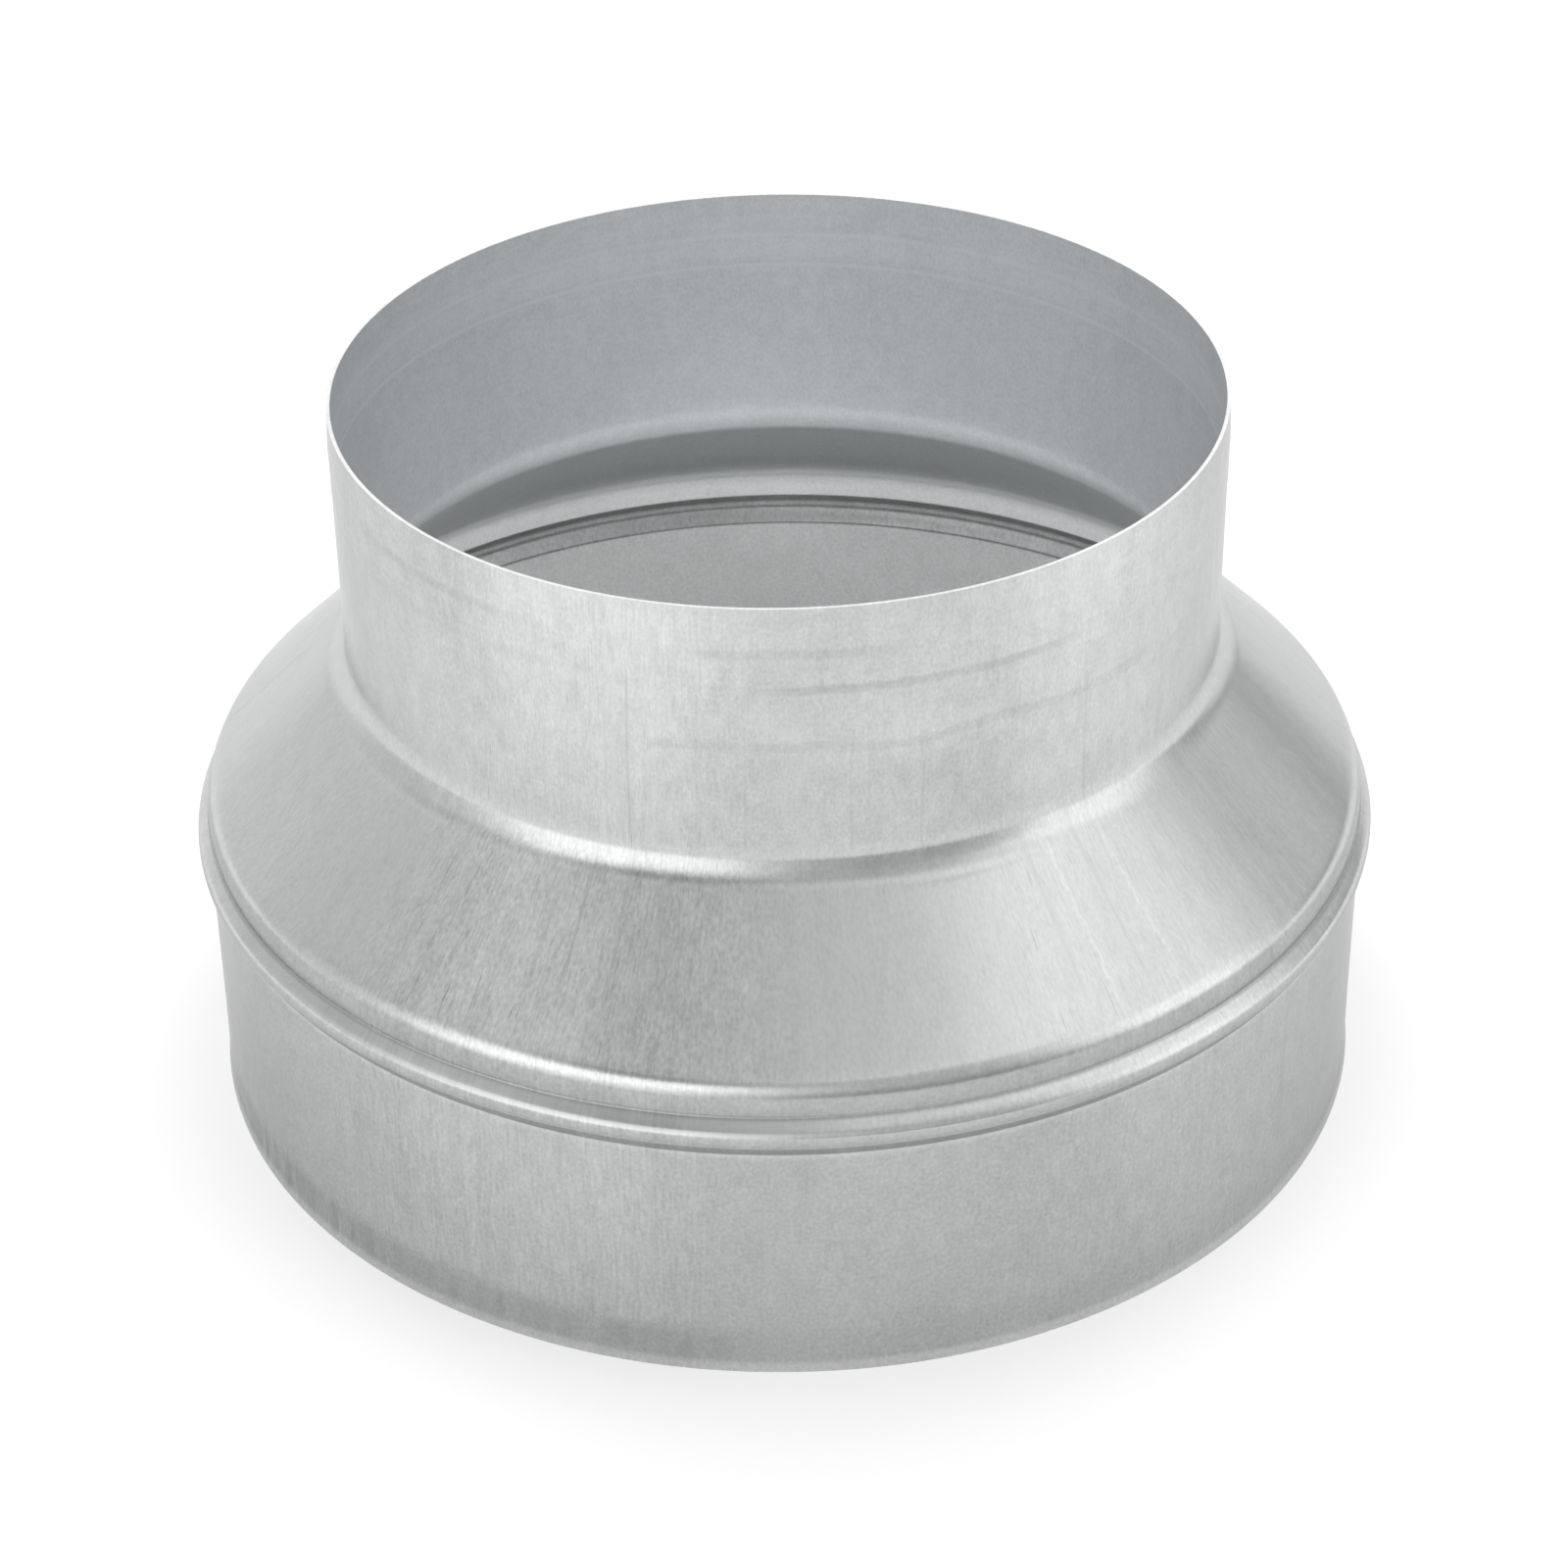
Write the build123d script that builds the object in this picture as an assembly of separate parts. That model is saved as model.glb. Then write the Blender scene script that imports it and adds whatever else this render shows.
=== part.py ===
"""Round duct reducer, pressed from one sheet of galvanised steel.

It stands on the rim of its large collar with the small spigot upwards.
The origin is the centre of that rim, and +Z is the axis of the duct.
"""
import os
from build123d import *

# Sheet
sheet = 0.6                 # thickness of the steel

# Large collar, which goes inside a 200 mm duct
collar_diameter = 199.0     # outside
collar_length = 43.4        # from the rim up to the foot of the stop bead
flare_height = 12.0         # lower part of the collar that spreads a little
flare_spread = 0.35         # on the radius, at the rim

# Stop bead, where the end of the large duct comes to rest
bead_height = 6.8           # from its foot up to the groove above it
bead_corner_height = 3.8    # from its foot up to the corner between its two flanks
bead_corner_reach = 2.2     # of that corner from the collar's wall, before it is rounded
groove_depth = 0.5          # of the groove, inwards from the collar's wall

# Shoulder and cone
shoulder_height = 3.8       # from the groove up to the corner of the shoulder
shoulder_inset = 0.15       # of that corner, inwards from the collar's wall
cone_height = 26.0          # from the shoulder's corner up to the foot of the spigot

# Small spigot, which goes inside a 150 mm duct
spigot_diameter = 147.4     # outside
spigot_length = 44.7        # from the corner at its foot up to its rim
curl_height = 5.7           # upper part of the spigot that leans inwards
curl_depth = 0.72           # on the radius, at the rim

# Inside radius of each round bend in the sheet; the lines beside the bead are sharp creases
crest_bend = 1.4
shoulder_bend = 5.8
spigot_bend = 7.0

# Radii and levels that follow from the sizes above
collar_radius = collar_diameter / 2
spigot_radius = spigot_diameter / 2
groove_level = collar_length + bead_height
shoulder_level = groove_level + shoulder_height
spigot_level = shoulder_level + cone_height
rim_level = spigot_level + spigot_length

# Outside line of the sheet as (radius, height), from the large rim up to the small one.
# It runs a sheet's thickness past both rims, which are then cut square to the axis
large_end = (collar_radius + flare_spread * (1 + sheet / flare_height), -sheet)
flare_top = (collar_radius, flare_height)
bead_foot = (collar_radius, collar_length)
bead_corner = (collar_radius + bead_corner_reach, collar_length + bead_corner_height)
groove = (collar_radius - groove_depth, groove_level)
shoulder = (collar_radius - shoulder_inset, shoulder_level)
spigot_foot = (spigot_radius, spigot_level)
curl_foot = (spigot_radius, rim_level - curl_height)
small_end = (spigot_radius - curl_depth * (1 + sheet / curl_height), rim_level + sheet)

# A bend that bulges outwards has its inside radius on the sheet's inner face, and the hollow bend
# at the spigot's foot has it on this outside line
with BuildPart() as reducer:
    with BuildSketch(Plane.XZ) as section:
        with BuildLine() as sheet_line:
            Polyline(large_end, flare_top, bead_foot)
            FilletPolyline(bead_foot, bead_corner, groove, radius=crest_bend + sheet)
            FilletPolyline(
                groove, shoulder, spigot_foot, curl_foot, radius=[shoulder_bend + sheet, spigot_bend]
            )
            Line(curl_foot, small_end)
            offset(amount=sheet, side=Side.LEFT, kind=Kind.INTERSECTION)
        make_face()
        Rectangle(bead_corner[0], rim_level, align=Align.MIN, mode=Mode.INTERSECT)
    revolve(axis=Axis.Z)

os.makedirs("parts", exist_ok=True)
export_step(reducer.part, "parts/reducer.step")

size = reducer.part.bounding_box().size
print(f"reducer: {size.X:.2f} x {size.Y:.2f} x {size.Z:.2f} mm, volume {reducer.part.volume:.0f} mm3")
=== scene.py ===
# %% [markdown]
# # A duct reducer, pressed from one galvanised sheet
# The part joins a 200 mm round duct to a 150 mm one. It is a single thin sheet of zinc coated steel,
# drawn over a former, so every form on it is a ring about one axis. The imported CAD model is the frame:
# it gives the place and the size, and this lesson gives the looks. The frame is loaded before anything
# else, and at the end the finished piece takes the place of its solid.

# %% Load the frame
import math

import bpy
from mathutils import Matrix, Vector


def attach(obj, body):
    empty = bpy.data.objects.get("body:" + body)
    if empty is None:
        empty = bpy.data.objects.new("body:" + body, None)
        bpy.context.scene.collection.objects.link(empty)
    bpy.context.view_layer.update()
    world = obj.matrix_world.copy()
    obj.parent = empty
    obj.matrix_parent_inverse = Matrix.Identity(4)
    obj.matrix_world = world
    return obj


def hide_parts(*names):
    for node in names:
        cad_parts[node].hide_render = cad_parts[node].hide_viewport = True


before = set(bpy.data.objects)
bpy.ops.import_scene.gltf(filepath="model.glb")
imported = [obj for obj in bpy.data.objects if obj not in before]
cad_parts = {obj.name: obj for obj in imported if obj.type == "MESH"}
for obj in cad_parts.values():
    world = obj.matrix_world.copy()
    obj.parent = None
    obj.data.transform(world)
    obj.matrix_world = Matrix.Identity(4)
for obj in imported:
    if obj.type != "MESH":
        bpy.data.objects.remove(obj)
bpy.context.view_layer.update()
MM = 0.001

# %% [markdown]
# ## Camera
# The photograph looks down on the part at 33 degrees from about 0.7 m with a long lens. A camera can be
# moved by eye until the picture seems right, but then the rims come out too open or too flat. Here both
# rims and the bead, which are ellipses in the picture, were fitted to rings of known size, and that gave
# the angle, the distance and the focal length. The picture is also turned by less than a degree.

# %% Place the camera
aim = Vector((0, 0, 46.684 * MM))
elevation = math.radians(32.959)
distance = 681.87 * MM
roll = math.radians(-0.806)

lens = bpy.data.cameras.new("camera")
lens.sensor_fit = "HORIZONTAL"
lens.sensor_width = 36
lens.lens = 90
camera = bpy.data.objects.new("camera", lens)
bpy.context.collection.objects.link(camera)
camera.matrix_world = (
    Matrix.Translation(aim + distance * Vector((0, -math.cos(elevation), math.sin(elevation))))
    @ Matrix.Rotation(math.pi / 2 - elevation, 4, "X")
    @ Matrix.Rotation(roll, 4, "Z")
)
bpy.context.scene.camera = camera
bpy.context.scene.view_settings.view_transform = "Standard"
print("camera at", [round(v, 3) for v in camera.location])

# %% [markdown]
# ## One helper for every node tree
# Shaders, the sky and Geometry Nodes are all trees of nodes, wired by hand in the editor or by a script.
# A script can be read and run again, but its lines multiply, so one helper does what they all need: make
# a node, set it and fill its inputs. An input that is given a socket is linked, and any other value is
# typed into it. Colours are written in sRGB hex, as on a paint card, and turned to linear light.

# %% Define the helpers
def add(tree, kind, inputs=None, **settings):
    node = tree.nodes.new(kind)
    for name, value in settings.items():
        setattr(node, name, value)
    for name, value in (inputs or {}).items():
        if isinstance(value, bpy.types.NodeSocket):
            tree.links.new(value, node.inputs[name])
        else:
            node.inputs[name].default_value = value
    return node


def linear(hex_colour):
    channels = [int(hex_colour[i:i + 2], 16) / 255 for i in (1, 3, 5)]
    return [c / 12.92 if c <= 0.04045 else ((c + 0.055) / 1.055) ** 2.4 for c in channels] + [1]


print("mid grey #808080 is", round(linear("#808080")[0], 3), "in linear light")

# %% [markdown]
# ## The line of the sheet
# Cut the part through its axis and the sheet is one bent line. A Bezier curve could follow it, but a bend
# in sheet metal is a plain arc whose radius can be measured, so the line is kept as sharp corners. Each
# has its distance from the axis, its height and the radius of its bend, in millimetres. The line is a
# mesh of points and edges, because a mesh can carry the bends along as an attribute.

# %% List the corners of the outside line
section_corners = [
    (99.95, 0.0, 0),        # large rim, spread a little
    (99.58, 3.5, 10),       # lip of the flare
    (99.5, 13.0, 60),       # top of the flare
    (99.5, 43.4, 0.6),      # foot of the stop bead
    (101.85, 47.2, 2.6),    # crest of the stop bead
    (99.0, 50.2, 0.4),      # groove
    (99.35, 54.0, 6.4),     # shoulder
    (77.32, 75.80, 30),     # top of the cone, where a faint ripple runs round
    (75.89, 77.13, 12),     # end of the ripple
    (73.63, 80.61, 7.0),    # foot of the spigot
    (73.66, 110.9, 0.6),    # lower draw ring, a small step outwards
    (73.73, 111.6, 0.6),
    (73.72, 117.2, 0.6),    # upper draw ring, a smaller step
    (73.77, 117.9, 0.6),
    (73.74, 119.8, 25),     # foot of the curl
    (73.52, 124.95, 0),     # small rim
]
line = bpy.data.meshes.new("section_line")
line.from_pydata(
    [(r * MM, z * MM, 0) for r, z, bend in section_corners],
    [(i, i + 1) for i in range(len(section_corners) - 1)],
    [],
)
bends = line.attributes.new("bend", "FLOAT", "POINT")
bends.data.foreach_set("value", [bend * MM for r, z, bend in section_corners])
print("section line with", len(line.vertices), "corners")

# %% [markdown]
# ## Turning the line into a sheet
# The press leaves a shape that is the same all round, like something turned on a lathe. The Spin tool or
# the Screw modifier could turn the line, but they can't round each corner by a radius of its own.
# Geometry Nodes can, and they keep every size as a named input. The inputs come first.

# %% Name the inputs of the tree
turning = bpy.data.node_groups.new("turned_sheet", "GeometryNodeTree")
turning.interface.new_socket("Section", in_out="INPUT", socket_type="NodeSocketGeometry")
tree_inputs = {
    "Sheet": "Float", "Bend steps": "Int", "Run step": "Float", "Turn steps": "Int",
    "Unevenness": "Float", "Unevenness size": "Float", "Seed": "Float", "Steel": "Material",
}
for name, kind in tree_inputs.items():
    turning.interface.new_socket(name, in_out="INPUT", socket_type="NodeSocket" + kind)
turning.interface.new_socket("Part", in_out="OUTPUT", socket_type="NodeSocketGeometry")
given = add(turning, "NodeGroupInput").outputs
print("turned_sheet takes", ", ".join(tree_inputs))

# %% [markdown]
# ### Bends and straight runs
# On the real sheet each bend has its own radius. A Bevel modifier has one width for all of them, so
# Fillet Curve does it and reads the radius from the attribute. Subdivide Curve then cuts each straight
# run by its length, so that the wall has enough points to be pushed out of true later.

# %% Round the corners
curve = add(turning, "GeometryNodeMeshToCurve", {"Mesh": given["Section"]}).outputs[0]
bend = add(turning, "GeometryNodeInputNamedAttribute", {"Name": "bend"}, data_type="FLOAT").outputs[0]
curve = add(turning, "GeometryNodeFilletCurve", {
    "Curve": curve, "Count": given["Bend steps"], "Radius": bend, "Limit Radius": True,
}, mode="POLY").outputs[0]
print("corners rounded with", len(turning.nodes), "nodes so far")

# %% Cut the runs
here = add(turning, "GeometryNodeInputPosition").outputs[0]
index = add(turning, "GeometryNodeInputIndex").outputs[0]
after = add(turning, "ShaderNodeMath", {0: index, 1: 1}, operation="ADD").outputs[0]
there = add(turning, "GeometryNodeFieldAtIndex", {"Value": here, "Index": after},
            data_type="FLOAT_VECTOR").outputs[0]
run = add(turning, "ShaderNodeVectorMath", {0: here, 1: there}, operation="DISTANCE").outputs["Value"]
cuts = add(turning, "ShaderNodeMath", {0: run, 1: given["Run step"]}, operation="DIVIDE").outputs[0]
cuts = add(turning, "FunctionNodeFloatToInt", {"Float": cuts}, rounding_mode="FLOOR").outputs[0]
curve = add(turning, "GeometryNodeSubdivideCurve", {"Curve": curve, "Cuts": cuts}).outputs[0]
print("runs cut with", len(turning.nodes), "nodes so far")

# %% [markdown]
# ### Round the axis
# Every point of the line runs round the axis in a circle. Curve to Mesh makes such a skin, but it turns and
# shifts the line with its path. So the line first notes how far out and how high each point is, the circle
# notes which way is outwards, and these three put every point of the skin exactly in place.

# %% Carry the line round
line_parts = add(turning, "ShaderNodeSeparateXYZ", {0: here}).outputs
for name, value in {"reach": line_parts["X"], "height": line_parts["Y"]}.items():
    curve = add(turning, "GeometryNodeStoreNamedAttribute", {
        "Geometry": curve, "Name": name, "Value": value}, data_type="FLOAT").outputs[0]
circle = add(turning, "GeometryNodeCurvePrimitiveCircle", {
    "Resolution": given["Turn steps"], "Radius": 1}).outputs[0]
circle = add(turning, "GeometryNodeStoreNamedAttribute", {
    "Geometry": circle, "Name": "outwards", "Value": here}, data_type="FLOAT_VECTOR").outputs[0]
skin = add(turning, "GeometryNodeCurveToMesh", {"Curve": circle, "Profile Curve": curve}).outputs[0]
skin = add(turning, "GeometryNodeFlipFaces", {"Mesh": skin}).outputs[0]
print("skin carried round with", len(turning.nodes), "nodes so far")

# %% Work out each point's place
reach, height, outwards = [
    add(turning, "GeometryNodeInputNamedAttribute", {"Name": name}, data_type=kind).outputs[0]
    for name, kind in (("reach", "FLOAT"), ("height", "FLOAT"), ("outwards", "FLOAT_VECTOR"))
]
ring_place = add(turning, "ShaderNodeVectorMath", {
    0: outwards, "Scale": reach}, operation="SCALE").outputs[0]
rise = add(turning, "ShaderNodeCombineXYZ", {"Z": height}).outputs[0]
skin_place = add(turning, "ShaderNodeVectorMath", {0: ring_place, 1: rise}, operation="ADD").outputs[0]
print("places worked out with", len(turning.nodes), "nodes so far")

# %% [markdown]
# ### Out of true
# Pressed sheet is never quite round, and reflections in it waver. A Displace modifier on the finished mesh
# would push each wall along its own normals and change the thickness. Here a slow noise pushes the skin in
# and out by about a tenth of a millimetre before it gets its thickness. The seed is fixed, so every run
# gives the same wall.

# %% Push the wall out of true
noise_middle = 0.5
waves = add(turning, "ShaderNodeMath", {0: 1, 1: given["Unevenness size"]}, operation="DIVIDE").outputs[0]
noise = add(turning, "ShaderNodeTexNoise", {
    "Vector": skin_place, "W": given["Seed"], "Scale": waves, "Detail": 1}, noise_dimensions="4D").outputs[0]
push = add(turning, "ShaderNodeMath", {0: noise, 1: noise_middle}, operation="SUBTRACT").outputs[0]
push = add(turning, "ShaderNodeMath", {0: push, 1: given["Unevenness"]}, operation="MULTIPLY").outputs[0]
push = add(turning, "ShaderNodeVectorMath", {0: outwards, "Scale": push}, operation="SCALE").outputs[0]
skin = add(turning, "GeometryNodeSetPosition", {
    "Geometry": skin, "Position": skin_place, "Offset": push}).outputs[0]
print("wall pushed with", len(turning.nodes), "nodes so far")

# %% [markdown]
# ### Thickness of the steel
# The skin is only the outside face. A Solidify modifier could thicken it, but Extrude Mesh keeps the step
# in the tree: it makes the inner wall and both cut rims, and joined to the skin they close into one solid
# sheet. Points that meet are merged. Faces are shaded smooth and the square edges of the rims stay sharp.

# %% Give the sheet its thickness
merge_distance = 0.01 * MM
inwards = add(turning, "ShaderNodeMath", {0: given["Sheet"], 1: -1}, operation="MULTIPLY").outputs[0]
inner_wall = add(turning, "GeometryNodeExtrudeMesh", {
    "Mesh": skin, "Offset Scale": inwards, "Individual": False}, mode="FACES").outputs[0]
inner_wall = add(turning, "GeometryNodeFlipFaces", {"Mesh": inner_wall}).outputs[0]
both = add(turning, "GeometryNodeJoinGeometry")
turning.links.new(skin, both.inputs[0])
turning.links.new(inner_wall, both.inputs[0])
body = add(turning, "GeometryNodeMergeByDistance", {
    "Geometry": both.outputs[0], "Distance": merge_distance}).outputs[0]
print("sheet closed with", len(turning.nodes), "nodes so far")

# %% Shade the sheet and close the tree
sharpest_bend = math.radians(50)
angle = add(turning, "GeometryNodeInputMeshEdgeAngle").outputs["Unsigned Angle"]
square = add(turning, "ShaderNodeMath", {0: angle, 1: sharpest_bend}, operation="GREATER_THAN").outputs[0]
body = add(turning, "GeometryNodeSetShadeSmooth", {
    "Geometry": body, "Shade Smooth": True}, domain="FACE").outputs[0]
body = add(turning, "GeometryNodeSetShadeSmooth", {
    "Geometry": body, "Selection": square, "Shade Smooth": False}, domain="EDGE").outputs[0]
body = add(turning, "GeometryNodeRealizeInstances", {"Geometry": body}).outputs[0]
body = add(turning, "GeometryNodeSetMaterial", {"Geometry": body, "Material": given["Steel"]}).outputs[0]
add(turning, "NodeGroupOutput", {0: body})
print("turned_sheet has", len(turning.nodes), "nodes")

# %% [markdown]
# ## Where on the sheet
# Every mark on the sheet was made by a tool that moved along the axis or around it, so the patterns need
# two directions: up the sheet and round it. A UV map could give them, but it would have a seam and the
# cone would stretch it. Object coordinates have neither fault. They give the level in millimetres, the
# turn from the front in degrees, and the direction away from the axis, which tells outside from inside.

# %% Work out the place on the sheet
zinc = bpy.data.materials.new("galvanised_steel")
zinc.use_nodes = True
nodes = zinc.node_tree
shader = nodes.nodes["Principled BSDF"]

at = add(nodes, "ShaderNodeTexCoord").outputs["Object"]
at_parts = add(nodes, "ShaderNodeSeparateXYZ", {0: at}).outputs
level = add(nodes, "ShaderNodeMath", {0: at_parts["Z"], 1: 1 / MM}, operation="MULTIPLY").outputs[0]
front = add(nodes, "ShaderNodeMath", {0: at_parts["Y"], 1: -1}, operation="MULTIPLY").outputs[0]
turn = add(nodes, "ShaderNodeMath", {0: at_parts["X"], 1: front}, operation="ARCTAN2").outputs[0]
turn = add(nodes, "ShaderNodeMath", {0: turn}, operation="DEGREES").outputs[0]
flat = add(nodes, "ShaderNodeVectorMath", {0: at, 1: (1, 1, 0)}, operation="MULTIPLY").outputs[0]
away = add(nodes, "ShaderNodeVectorMath", {0: flat}, operation="NORMALIZE").outputs[0]
print("place on the sheet: level in mm, turn in degrees, direction away from the axis")

# %% Tell outside, inside and the cut edge apart
cut_edge_slope = 0.9    # only the cut edge of the small rim points up more squarely than this
normal = add(nodes, "ShaderNodeNewGeometry").outputs["Normal"]
facing = add(nodes, "ShaderNodeVectorMath", {0: normal, 1: away}, operation="DOT_PRODUCT").outputs["Value"]
outside = add(nodes, "ShaderNodeMath", {0: facing, 1: 0}, operation="GREATER_THAN").outputs[0]
inside = add(nodes, "ShaderNodeMath", {0: 1, 1: outside}, operation="SUBTRACT").outputs[0]
upward = add(nodes, "ShaderNodeSeparateXYZ", {0: normal}).outputs["Z"]
cut_edge = add(nodes, "ShaderNodeMath", {0: upward, 1: cut_edge_slope}, operation="GREATER_THAN").outputs[0]
print("sides of the sheet told apart with", len(nodes.nodes), "nodes so far")

# %% [markdown]
# ## Patterns in the zinc
# Up close the coat is full of small marks. Photographs of metal could be laid over the part, but noise has
# no edges and its size can be chosen. Hair lines and drag marks run up the sheet, because it slid over the
# die that way, so their noise is squeezed round the part and stretched along it. Rubs run round it. Grain,
# mottle and slow clouds have no direction. Real zinc's grain and hair lines are finer than a pixel here,
# so both are drawn coarser, at about half a millimetre, to show at all.

# %% Unroll the sheet
unrolled_radius = 85    # between the radii of the two walls, so that sizes in mm are about right on both
lift = add(nodes, "ShaderNodeCombineXYZ", {"Z": at_parts["Z"]}).outputs[0]
unrolled = add(nodes, "ShaderNodeVectorMath", {0: lift, "Scale": 1 / MM}, operation="SCALE").outputs[0]
unrolled = add(nodes, "ShaderNodeVectorMath", {0: away, 1: [unrolled_radius] * 3, 2: unrolled},
               operation="MULTIPLY_ADD").outputs[0]
print("patterns are laid on a tube of", unrolled_radius, "mm radius")

# %% Make the patterns
# width round the part and length along it in mm, and how many finer layers lie on top
pattern_sizes = {
    "grain": (0.5, 0.7, 2), "hair": (0.4, 5, 2), "drag": (2.6, 32, 3),
    "rub": (9, 1.1, 2), "mottle": (3, 4, 2), "cloud": (26, 30, 2),
}
pattern = {}
for name, (width, length, detail) in pattern_sizes.items():
    spot = add(nodes, "ShaderNodeVectorMath", {0: unrolled, 1: (1 / width, 1 / width, 1 / length)},
               operation="MULTIPLY").outputs[0]
    noise = add(nodes, "ShaderNodeTexNoise", {"Vector": spot, "Scale": 1, "Detail": detail}).outputs[0]
    pattern[name] = add(nodes, "ShaderNodeMath", {
        0: noise, 1: noise_middle}, operation="SUBTRACT").outputs[0]
print("patterns:", ", ".join(pattern))

# %% [markdown]
# ## Marks have soft edges
# A scratch, a ring of painted shade or a zone of painted shade or sheen has a place on the sheet and fades
# out at its edge. A painted mask would do, but it would be a picture to keep beside the script. A band needs
# only numbers: it is 1 between two limits and fades to 0 over a soft edge. Two bands multiplied make a
# patch, and several added up with an amount each make zones. Levels are in mm and turns in degrees.

# %% Define bands, patches and zones
def band(tree, value, low, high, soft):
    rising = add(tree, "ShaderNodeMapRange", {
        "Value": value, "From Min": low - soft, "From Max": low},
        interpolation_type="SMOOTHSTEP").outputs[0]
    falling = add(tree, "ShaderNodeMapRange", {
        "Value": value, "From Min": high, "From Max": high + soft, "To Min": 1, "To Max": 0},
        interpolation_type="SMOOTHSTEP").outputs[0]
    return add(tree, "ShaderNodeMath", {0: rising, 1: falling}, operation="MULTIPLY").outputs[0]


def patch(tree, first, first_limits, second, second_limits):
    bands = {0: band(tree, first, *first_limits), 1: band(tree, second, *second_limits)}
    return add(tree, "ShaderNodeMath", bands, operation="MULTIPLY").outputs[0]


def zones(tree, value, places):
    total = 0
    for low, high, soft, amount in places:
        zone = band(tree, value, low, high, soft)
        total = add(tree, "ShaderNodeMath", {
            0: zone, 1: amount, 2: total}, operation="MULTIPLY_ADD").outputs[0]
    return total


print("helpers: band, patch and zones")

# %% [markdown]
# ## Scratches
# Thin lines run up the spigot and the cone, some dark and a few bright, as grit between sheet and die leaves
# them. They could be cut into the mesh, but they are far thinner than its faces, so the material draws
# them. Each is a narrow patch, swayed by the clouds so that it isn't ruler straight and worn by the grain.
# The last four continue them on the side that the photograph doesn't show.

# %% Draw the scratches
scratch_sway = 2.0
scratch_ends = 6
# turn, lowest and highest level, half width in degrees, depth; a bright scratch has a depth below 0
scratches = [
    (-18.7, 84, 109, 0.16, 0.13), (-18.2, 62, 76, 0.2, 0.11), (-21.6, 86, 108, 0.2, 0.05),
    (-22.8, 66, 75, 0.2, 0.13), (-10.3, 84, 106, 0.35, 0.05), (-4.6, 84, 99, 0.14, 0.06),
    (8.3, 84, 99, 0.18, 0.06), (10.5, 85, 98, 0.18, 0.05), (16.9, 82, 100, 0.14, 0.07),
    (30.0, 84, 100, 0.3, 0.04), (39.6, 81, 101, 0.2, 0.07), (-14.0, 70, 75, 0.5, 0.08),
    (-26.4, 64, 72, 0.3, 0.07), (-36.0, 84, 104, 0.4, 0.04), (55.0, 14, 43, 0.4, 0.05),
    (29.5, 62, 77, 0.3, 0.05), (32.5, 60, 75, 0.3, -0.06), (36.5, 61, 77, 0.25, 0.06),
    (40.0, 62, 76, 0.3, -0.05),
    (120, 62, 76, 0.2, 0.1), (163, 84, 106, 0.2, 0.09), (-140, 84, 100, 0.2, 0.07),
    (-95, 60, 70, 0.25, 0.08),
]
swayed_turn = add(nodes, "ShaderNodeMath", {
    0: pattern["cloud"], 1: scratch_sway, 2: turn}, operation="MULTIPLY_ADD").outputs[0]
marks_and_painted_shade = 0
for where, low, high, half, depth in scratches:
    scratch = patch(nodes, swayed_turn, (where - half / 2, where + half / 2, half),
                    level, (low, high, scratch_ends))
    marks_and_painted_shade = add(nodes, "ShaderNodeMath", {
        0: scratch, 1: depth, 2: marks_and_painted_shade}, operation="MULTIPLY_ADD").outputs[0]
worn = add(nodes, "ShaderNodeMapRange", {
    "Value": pattern["grain"], "From Min": -0.2, "From Max": 0.2, "To Min": 0.4, "To Max": 1.2}).outputs[0]
marks_and_painted_shade = add(nodes, "ShaderNodeMath", {0: marks_and_painted_shade, 1: worn}, operation="MULTIPLY").outputs[0]
print(len(scratches), "scratches")

# %% [markdown]
# ## Rings of painted shade
# Faint dark rings of painted shade run part of the way round the spigot: under the small steps of the draw
# rings, at the spigot's foot, and one between them. A wave texture would run all the way round, so each ring
# is a patch with its own ends, broken up by the rub pattern. The ring between them also wanders.

# %% Draw the rings of painted shade
ring_sway = 4.0
ring_soft = 0.9
ring_ends = 10
swayed_level = add(nodes, "ShaderNodeMath", {
    0: pattern["cloud"], 1: ring_sway, 2: level}, operation="MULTIPLY_ADD").outputs[0]
# the level that the ring follows, where on it and half width in mm, from turn to turn, depth
# rings of painted shade: under the draw rings' steps, at the spigot's foot and one between them
painted_shade_rings = [
    (level, 110.8, 0.3, 4, 32, 0.13), (level, 110.8, 0.4, -50, -34, 0.04), (level, 117.1, 0.4, -6, 10, 0.07),
    (level, 117.4, 0.4, -58, -38, 0.08), (swayed_level, 100.8, 0.4, -12, 46, 0.08),
    (level, 110.9, 0.4, 80, 170, 0.06), (level, 79.3, 0.3, 2, 22, 0.16),
]
broken = add(nodes, "ShaderNodeMapRange", {
    "Value": pattern["rub"], "From Min": -0.2, "From Max": 0.1, "To Min": 0.5}).outputs[0]
for followed, where, half, start, end, depth in painted_shade_rings:
    ring = patch(nodes, followed, (where - half, where + half, ring_soft), turn, (start, end, ring_ends))
    ring = add(nodes, "ShaderNodeMath", {0: ring, 1: broken}, operation="MULTIPLY").outputs[0]
    marks_and_painted_shade = add(nodes, "ShaderNodeMath", {0: ring, 1: depth, 2: marks_and_painted_shade}, operation="MULTIPLY_ADD").outputs[0]
print(len(painted_shade_rings), "painted_shade_rings")

# %% [markdown]
# ## Wear at the large rim and the bead, and painted shade in the groove
# The part stands on its large rim and the bead stands out furthest, so both are scuffed, most of all on the
# left of the front. The groove under the shoulder is darkened as painted shade in the crease, and the bead's
# upper flank on the left is darkened partly for its matte grain and partly as painted shade. A second, dirty
# material could be mixed in there, but the zinc is only darker. So each place is a band or a patch, and one
# of the patterns breaks it up.

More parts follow.
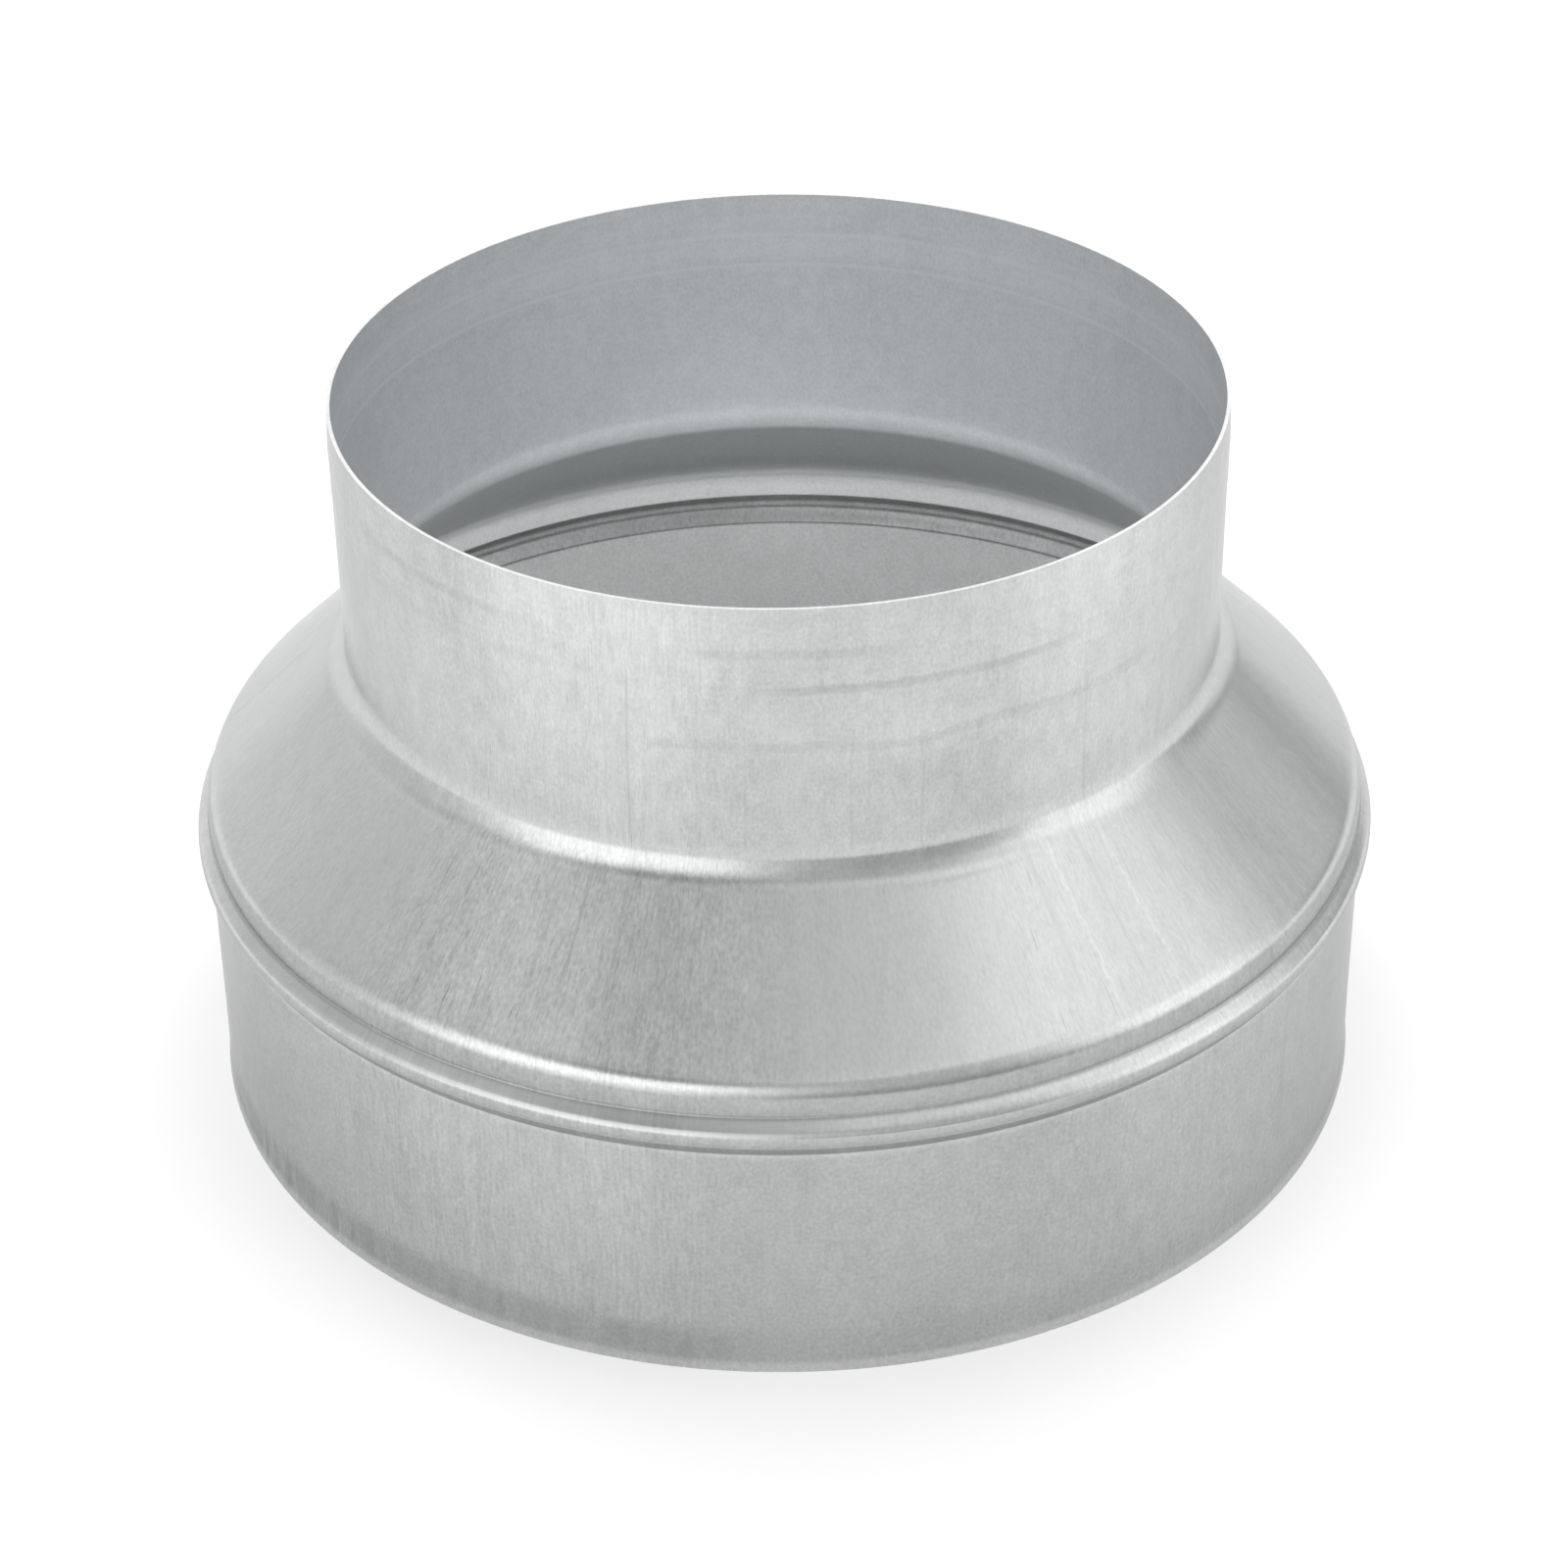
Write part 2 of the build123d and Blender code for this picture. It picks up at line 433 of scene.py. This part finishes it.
# %% Scuff the rim and the bead, and paint shade in the groove
foot = band(nodes, level, 3, 6, 4)
left_turns = band(nodes, turn, -68, -12, 14)
foot_left = add(nodes, "ShaderNodeMath", {0: foot, 1: left_turns}, operation="MULTIPLY").outputs[0]
# the bead's upper flank on the left: matte grain and painted shade
flank_grain_and_shade = patch(nodes, level, (48.2, 49.8, 0.5), turn, (-42, -6, 14))
# painted shade in the crease of the groove
painted_groove_shade = band(nodes, level, 50.05, 50.4, 0.35)
scuff = patch(nodes, level, (49, 51.5, 1), turn, (-62, -48, 8))
# each place, the pattern that breaks it up, where the pattern starts and ends to count, depth
for place, name, low, high, depth in (
        (foot_left, "hair", -0.15, 0.3, 0.2), (foot_left, "drag", -0.1, 0.2, 0.14),
        (foot, "mottle", -0.25, 0.3, 0.08), (flank_grain_and_shade, "grain", -0.5, 0.3, 0.2),
        (scuff, "grain", -0.2, 0.3, 0.14), (painted_groove_shade, "mottle", -0.6, 0.2, 0.2)):
    patchy = add(nodes, "ShaderNodeMapRange", {
        "Value": pattern[name], "From Min": low, "From Max": high}).outputs[0]
    patchy = add(nodes, "ShaderNodeMath", {0: patchy, 1: place}, operation="MULTIPLY").outputs[0]
    marks_and_painted_shade = add(nodes, "ShaderNodeMath", {0: patchy, 1: depth, 2: marks_and_painted_shade}, operation="MULTIPLY_ADD").outputs[0]
marks_and_painted_shade = add(nodes, "ShaderNodeMath", {0: marks_and_painted_shade, 1: outside}, operation="MULTIPLY").outputs[0]
print("rim, bead and groove scuffed with", len(nodes.nodes), "nodes so far")

# %% [markdown]
# ## Where the grain and the streaks are strong
# On the left of the cone's front the coat shows a strong grain, and the spigot is blotchy. Streaks come
# where the sheet was dragged hardest: left and right of the front, and here also in two places behind. One
# strength all over would look like a printed pattern, so each pattern gets a map of its own.

# %% Say where the grain is strong
# how far the grain's strength departs from 1 on the left of the cone's front, and on the rest of the cone
left_grain = 0.8
cone_grain = -0.3
on_cone = band(nodes, level, 57, 77, 3)
stronger = band(nodes, turn, -36, -8, 14)
stronger = add(nodes, "ShaderNodeMath", {
    0: stronger, 1: left_grain - cone_grain, 2: cone_grain}, operation="MULTIPLY_ADD").outputs[0]
grainy = add(nodes, "ShaderNodeMath", {
    0: on_cone, 1: stronger, 2: 1.0}, operation="MULTIPLY_ADD").outputs[0]
on_spigot = band(nodes, level, 84, 130, 4)
on_spigot = add(nodes, "ShaderNodeMath", {0: on_spigot, 1: outside}, operation="MULTIPLY").outputs[0]
spigot_blotches = 0.5
blotchy = add(nodes, "ShaderNodeMath", {
    0: on_spigot, 1: spigot_blotches, 2: grainy}, operation="MULTIPLY_ADD").outputs[0]
print("grain is", 1 + left_grain, "on the left of the cone and", 1 + cone_grain, "on the rest of it")

# %% Say where the sheet was dragged
cone_drag = 0.6
least_streaks = 0.3
# from turn to turn, soft edge and amount
dragged = zones(nodes, turn, (
    (-40, -12, 10, 1.0), (28, 58, 12, 0.4), (110, 160, 15, 0.7), (-150, -100, 15, 0.7)))
dragged = add(nodes, "ShaderNodeMath", {0: dragged, 1: outside}, operation="MULTIPLY").outputs[0]
cone_gain = add(nodes, "ShaderNodeMath", {
    0: on_cone, 1: cone_drag, 2: 1.0}, operation="MULTIPLY_ADD").outputs[0]
dragged = add(nodes, "ShaderNodeMath", {0: dragged, 1: cone_gain}, operation="MULTIPLY").outputs[0]
streaks = add(nodes, "ShaderNodeMath", {
    0: outside, 1: least_streaks, 2: dragged}, operation="MULTIPLY_ADD").outputs[0]
print("streaks are strong in four zones round the part")

# %% Darken the deepest hair lines
hair_depth = 0.32
above_bead = band(nodes, level, 57, 106, 6)
deepest = add(nodes, "ShaderNodeMapRange", {
    "Value": pattern["hair"], "From Min": 0.12, "From Max": 0.3}).outputs[0]
for place in (dragged, above_bead):
    deepest = add(nodes, "ShaderNodeMath", {0: deepest, 1: place}, operation="MULTIPLY").outputs[0]
marks_and_painted_shade = add(nodes, "ShaderNodeMath", {
    0: deepest, 1: hair_depth, 2: marks_and_painted_shade}, operation="MULTIPLY_ADD").outputs[0]
print("hair lines darkened where the sheet was dragged")

# %% [markdown]
# ## Painted shade and painted sheen
# The collar, the spigot, the crest of the bead and the shoulder's wall are painted darker than the cone, and
# so is a patch on the lower spigot just right of the front: painted shade for the darker reflections they
# show. Two upright bands on the front are painted sheen, brighter towards the top of each wall. Lamps alone
# could make such differences, but a lamp that brightens one wall also brightens the other. So these are
# slow changes of tone, kept weak, and the large soft lights do the rest.

# %% Say where the outside is painted darker
# from level to level, soft edge and amount of painted shade: collar, crest of the bead, wall of the
# shoulder, spigot
on_collar = (-5, 42, 2)
painted_outside_shade = zones(nodes, level, (
    (*on_collar, 1.0), (46.2, 47.4, 0.7, 1.0), (50.5, 53.8, 1.0, 1.3), (84, 130, 8, 0.47)))
# more painted shade on the lower spigot just right of the front
shade_depth = 0.35
shaded = patch(nodes, level, (82, 94, 8), turn, (0, 20, 14))
painted_outside_shade = add(nodes, "ShaderNodeMath", {
    0: shaded, 1: shade_depth, 2: painted_outside_shade}, operation="MULTIPLY_ADD").outputs[0]
painted_outside_shade = add(nodes, "ShaderNodeMath", {0: painted_outside_shade, 1: outside}, operation="MULTIPLY").outputs[0]
print("dull zones placed with", len(nodes.nodes), "nodes so far")

# %% Say where the walls get painted sheen
# left and right of the front: from turn to turn, soft edge and amount
# painted highlight: two upright bands left and right of the front are painted lighter, and this painted
# sheen rises towards the top of each wall as a painted reflection
painted_sheen = zones(nodes, turn, ((-30, -18, 15, 1.0), (36, 50, 18, 0.6)))
painted_sheen = add(nodes, "ShaderNodeMath", {0: painted_sheen, 1: outside}, operation="MULTIPLY").outputs[0]
painted_sheen_rise = 0
# each wall, the levels between which its painted sheen rises, and how far it rises
for place, low, high, amount in (
        (on_spigot, 82, 120, 0.21), (band(nodes, level, *on_collar), -5, 42, 0.09)):
    ramp = add(nodes, "ShaderNodeMapRange", {
        "Value": level, "From Min": low, "From Max": high, "To Max": amount}).outputs[0]
    painted_sheen_rise = add(nodes, "ShaderNodeMath", {
        0: ramp, 1: place, 2: painted_sheen_rise}, operation="MULTIPLY_ADD").outputs[0]
painted_sheen = add(nodes, "ShaderNodeMath", {0: painted_sheen, 1: painted_sheen_rise}, operation="MULTIPLY").outputs[0]
print("sheen rises on the spigot and on the collar")

# %% Paint light and shade on the inside
# from level to level, soft edge and amount; below 0 is painted shade, above 0 painted light
# painted shade under the cone, in the hollow of the bead and inside the collar; painted light under the
# shoulder and inside the spigot; painted highlights on and between the draw rings
inside_painted_light_and_shade = zones(nodes, level, (
    (58.5, 76, 2, -0.25),           # under the cone
    (43.6, 49.6, 0.6, -0.45),       # hollow of the bead
    (50.5, 56, 1, 0.12),            # under the shoulder
    (-5, 43, 0.5, -0.13),           # inside of the collar
    (84, 130, 5, 0.06),             # inside of the spigot
    (111.1, 111.4, 0.35, 0.12),     # lower draw ring
    (117.0, 117.3, 0.5, 0.06),      # upper draw ring
    (113.5, 117.3, 4, 0.06),        # between the draw rings
))
inside_painted_light_and_shade = add(nodes, "ShaderNodeMath", {0: inside_painted_light_and_shade, 1: inside}, operation="MULTIPLY").outputs[0]
print("inside toned with", len(nodes.nodes), "nodes so far")

# %% [markdown]
# ## Galvanised steel
# Steel sheet dipped in zinc: a pale neutral grey metal. To the eye, the outside that the press polished is
# a satin mirror, streaked along the sheet, and the inside is a paler coat that scatters light; its bluer
# tint above the collar is painted, standing in for the bluish light reflected inside the cone and spigot.
# Two materials could meet at the rims, but one that is mixed by the side a face is on keeps the sheet in
# one piece, and inside it is only eight tenths metal. First the tones are added up, with the painted
# shade, light and sheen among them.

# %% Add up the tone
painted_outside_shade_depth = -0.245
# painted highlight: the outside of the large rim's lowest 1.2 mm is painted lighter
painted_rim_highlight = 0.18
rubbed = band(nodes, level, 109, 130, 5)
rim = band(nodes, level, -5, 1.2, 1.2)
rim = add(nodes, "ShaderNodeMath", {0: rim, 1: outside}, operation="MULTIPLY").outputs[0]
# the tone starts from the painted sheen and the inside's painted light and shade
tone = add(nodes, "ShaderNodeMath", {0: painted_sheen, 1: 1.0}, operation="ADD").outputs[0]
tone = add(nodes, "ShaderNodeMath", {0: tone, 1: inside_painted_light_and_shade}, operation="ADD").outputs[0]
for place, amount in ((painted_outside_shade, painted_outside_shade_depth), (rim, painted_rim_highlight)):
    tone = add(nodes, "ShaderNodeMath", {0: place, 1: amount, 2: tone}, operation="MULTIPLY_ADD").outputs[0]
# each pattern, how much it changes the tone, and where
for name, amount, gain in (
        ("grain", 0.36, grainy), ("hair", 0.24, streaks), ("drag", 0.12, streaks),
        ("rub", 0.12, rubbed), ("mottle", 0.14, blotchy), ("cloud", 0.14, blotchy)):
    change = add(nodes, "ShaderNodeMath", {0: pattern[name], 1: gain}, operation="MULTIPLY").outputs[0]
    tone = add(nodes, "ShaderNodeMath", {0: change, 1: amount, 2: tone}, operation="MULTIPLY_ADD").outputs[0]
# scratches, scuffs and hair lines darken the tone, and so does the painted shade of the rings, the groove
# and the bead's flank
unmarked_and_unshaded = add(nodes, "ShaderNodeMath", {0: 1, 1: marks_and_painted_shade}, operation="SUBTRACT").outputs[0]
tone = add(nodes, "ShaderNodeMath", {0: tone, 1: unmarked_and_unshaded}, operation="MULTIPLY").outputs[0]
print("tone added up with", len(nodes.nodes), "nodes so far")

# %% Colour the zinc
# inside of the collar, then what lies over it: the bluer grey inside above, painted for the bluish light
# reflected there, the outside and the cut edge
painted_bluish_light_band = band(nodes, level, 58, 130, 4)
grey = linear("#EAEBEB")
for place, tint in ((painted_bluish_light_band, "#E9ECEE"), (outside, "#C6C8C7"), (cut_edge, "#EFEFEF")):
    grey = add(nodes, "ShaderNodeMix", {"Factor": place, "A": grey, "B": linear(tint)}, data_type="RGBA")
    grey = [socket for socket in grey.outputs if socket.enabled][0]
colour = add(nodes, "ShaderNodeVectorMath", {0: grey, "Scale": tone}, operation="SCALE").outputs[0]
nodes.links.new(colour, shader.inputs["Base Color"])
print("zinc coloured in four greys")

# %% [markdown]
# ## Gloss and relief
# Polishing along the sheet leaves fine grooves, so reflections spread round the part and stay sharp up it.
# A rougher surface would blur both ways; anisotropy, with the tangent running round the axis, blurs one.
# Drag marks and scratches are rougher than the rest. Grain and hair lines stand only microns high, far
# too little for the mesh, so a Bump node tilts the light on them.

# %% Set the gloss
drag_roughness = 0.1
mark_roughness = 0.5
# what the socket gets inside and outside
for name, inside_value, outside_value in (("Metallic", 0.8, 1.0), ("Roughness", 0.32, 0.24)):
    value = add(nodes, "ShaderNodeMapRange", {
        "Value": outside, "To Min": inside_value, "To Max": outside_value}).outputs[0]
    if name == "Roughness":
        for rougher, amount in ((pattern["drag"], drag_roughness), (marks_and_painted_shade, mark_roughness)):
            value = add(nodes, "ShaderNodeMath", {
                0: rougher, 1: amount, 2: value}, operation="MULTIPLY_ADD").outputs[0]
    nodes.links.new(value, shader.inputs[name])
shader.inputs["Anisotropic"].default_value = 0.65
shader.inputs["Specular Tint"].default_value = (0.82, 0.82, 0.82, 1)
tangent = add(nodes, "ShaderNodeTangent", direction_type="RADIAL", axis="Z").outputs[0]
nodes.links.new(tangent, shader.inputs["Tangent"])
print("gloss spreads round the part")

# %% Raise the grain and the hair lines
relief_height = 0.006 * MM
relief = add(nodes, "ShaderNodeMath", {0: pattern["grain"], 1: grainy}, operation="MULTIPLY").outputs[0]
relief = add(nodes, "ShaderNodeMath", {
    0: pattern["hair"], 1: streaks, 2: relief}, operation="MULTIPLY_ADD").outputs[0]
relief = add(nodes, "ShaderNodeMath", {0: relief, 1: outside}, operation="MULTIPLY").outputs[0]
relief = add(nodes, "ShaderNodeBump", {
    "Height": relief, "Distance": relief_height, "Strength": 1}).outputs[0]
nodes.links.new(relief, shader.inputs["Normal"])
print("galvanised_steel has", len(nodes.nodes), "nodes")

# %% [markdown]
# ## The finished piece
# Tree and material come together on the section line, as sheet and die do in the press. The modifier could
# stay live on the object, but an export needs a plain mesh. So the sizes are set by each socket's own
# identifier, the result is copied into a mesh, and the line and its modifier go.

# %% Turn the part
sheet_thickness = 0.6 * MM
source = bpy.data.objects.new("reducer_line", line)
bpy.context.collection.objects.link(source)
maker = source.modifiers.new("turn", "NODES")
maker.node_group = turning
turning_sizes = {
    "Sheet": sheet_thickness, "Bend steps": 6, "Run step": 1.6 * MM, "Turn steps": 300,
    "Unevenness": 0.2 * MM, "Unevenness size": 60 * MM, "Seed": 3.0, "Steel": zinc,
}
for socket in turning.interface.items_tree:
    if socket.name in turning_sizes:
        maker[socket.identifier] = turning_sizes[socket.name]
finished = bpy.data.meshes.new_from_object(source.evaluated_get(bpy.context.evaluated_depsgraph_get()))
source.modifiers.remove(maker)
bpy.data.objects.remove(source)
reducer = bpy.data.objects.new("pressed_reducer", finished)
bpy.context.collection.objects.link(reducer)
print("pressed_reducer has", sum(len(p.vertices) - 2 for p in finished.polygons), "triangles")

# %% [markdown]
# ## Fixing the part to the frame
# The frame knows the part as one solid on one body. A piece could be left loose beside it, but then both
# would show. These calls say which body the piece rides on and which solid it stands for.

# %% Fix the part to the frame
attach(reducer, "root")
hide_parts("reducer")
print("pressed_reducer rides on root in place of the CAD solid")

# %% [markdown]
# ## Floor
# The part stands on plain white paper, which the metal reflects. A curved backdrop could hide the horizon,
# but it would stand in the way of views from behind, so the paper is flat and very large. It is dull, and
# it glows a little where the camera or a reflection sees it, so that it is white and still takes the
# part's shadow.

# %% Lay the floor
floor_half = 30
floor_mesh = bpy.data.meshes.new("floor")
floor_mesh.from_pydata(
    [(x * floor_half, y * floor_half, 0) for x, y in ((-1, -1), (1, -1), (1, 1), (-1, 1))],
    [],
    [(0, 1, 2, 3)],
)
floor = bpy.data.objects.new("floor", floor_mesh)
bpy.context.collection.objects.link(floor)
print("floor is", 2 * floor_half, "m wide")

# %% Make the paper
paper_glow = 0.18
paper = bpy.data.materials.new("white_paper")
paper.use_nodes = True
paper_shader = paper.node_tree.nodes["Principled BSDF"]
paper_shader.inputs["Base Color"].default_value = linear("#FAFAFA")
paper_shader.inputs["Roughness"].default_value = 0.9
paper_shader.inputs["Specular IOR Level"].default_value = 0
paper_shader.inputs["Emission Color"].default_value = (1, 1, 1, 1)
seen = add(paper.node_tree, "ShaderNodeLightPath").outputs
glow = seen["Is Camera Ray"]
for ray in ("Is Glossy Ray", "Is Transmission Ray"):
    glow = add(paper.node_tree, "ShaderNodeMath", {0: glow, 1: seen[ray]}, operation="MAXIMUM").outputs[0]
glow = add(paper.node_tree, "ShaderNodeMath", {0: glow, 1: paper_glow}, operation="MULTIPLY").outputs[0]
paper.node_tree.links.new(glow, paper_shader.inputs["Emission Strength"])
floor_mesh.materials.append(paper)
print("white_paper glows at", paper_glow)

# %% [markdown]
# ## Studio light
# Metal shows the room around it, so its bright and dark bands are the lamps themselves. Area lamps could
# stand round the part, but metal would show their edges as hard lines. Here a ring of large soft boxes is
# drawn in the sky instead. Each has a direction (turn from the front, height above the floor), half sizes
# in degrees and a strength, and fades out at its edge.

# %% Find the direction in the sky
studio = bpy.data.worlds.new("studio")
bpy.context.scene.world = studio
studio.use_nodes = True
sky = studio.node_tree
look = add(sky, "ShaderNodeTexCoord").outputs["Generated"]
look = add(sky, "ShaderNodeSeparateXYZ", {0: look}).outputs
to_front = add(sky, "ShaderNodeMath", {0: look["Y"], 1: -1}, operation="MULTIPLY").outputs[0]
bearing = add(sky, "ShaderNodeMath", {0: look["X"], 1: to_front}, operation="ARCTAN2").outputs[0]
bearing = add(sky, "ShaderNodeMath", {0: bearing}, operation="DEGREES").outputs[0]
climb = add(sky, "ShaderNodeMath", {0: look["Z"]}, operation="ARCSINE").outputs[0]
climb = add(sky, "ShaderNodeMath", {0: climb}, operation="DEGREES").outputs[0]
print("directions in the sky: bearing from the front and climb, in degrees")

# %% Hang the soft boxes
sideways_fade = 30
upwards_fade = 10
# turn from the front, half width, height, half height, strength
soft_boxes = {
    "front_left": (-37, 14, 12, 15, 1.65), "front": (16, 15, 24, 18, 0.45),
    "left_low": (-82, 8, 8, 12, 0.7), "left": (-134, 12, 17, 20, 0.76),
    "left_mid": (-84, 20, 38, 6, 0.64), "right_low": (76, 8, 9, 12, 1.5),
    "right": (76, 13, 38, 8, 1.17), "right_back": (138, 14, 24, 14, 0.7),
    "back": (180, 35, 34, 8, 0.85), "front_high": (0, 43, 57, 9, 0.52),
    "front_right": (32, 10, 54, 8, 0.12), "back_high": (180, 35, 49, 6, 1.25),
    "right_high": (110, 25, 58, 9, 0.4), "left_high": (-110, 29, 57, 9, 0.5),
    "top": (0, 360, 90, 20, 0.9), "room": (0, 360, 0, 200, 0.15),
}
light = 0
for name, (side, half_width, rise_to, half_height, strength) in soft_boxes.items():
    off = add(sky, "ShaderNodeMath", {0: bearing, 1: side}, operation="SUBTRACT").outputs[0]
    off = add(sky, "ShaderNodeMath", {0: off, 1: 180, 2: -180}, operation="WRAP").outputs[0]
    box = patch(sky, off, (-half_width, half_width, sideways_fade),
                climb, (rise_to - half_height, rise_to + half_height, upwards_fade))
    light = add(sky, "ShaderNodeMath", {
        0: box, 1: strength, 2: light}, operation="MULTIPLY_ADD", label=name).outputs[0]
backdrop = sky.nodes["Background"]
backdrop.inputs["Color"].default_value = (1, 1, 1, 1)
sky.links.new(light, backdrop.inputs["Strength"])
print(len(soft_boxes), "soft boxes")
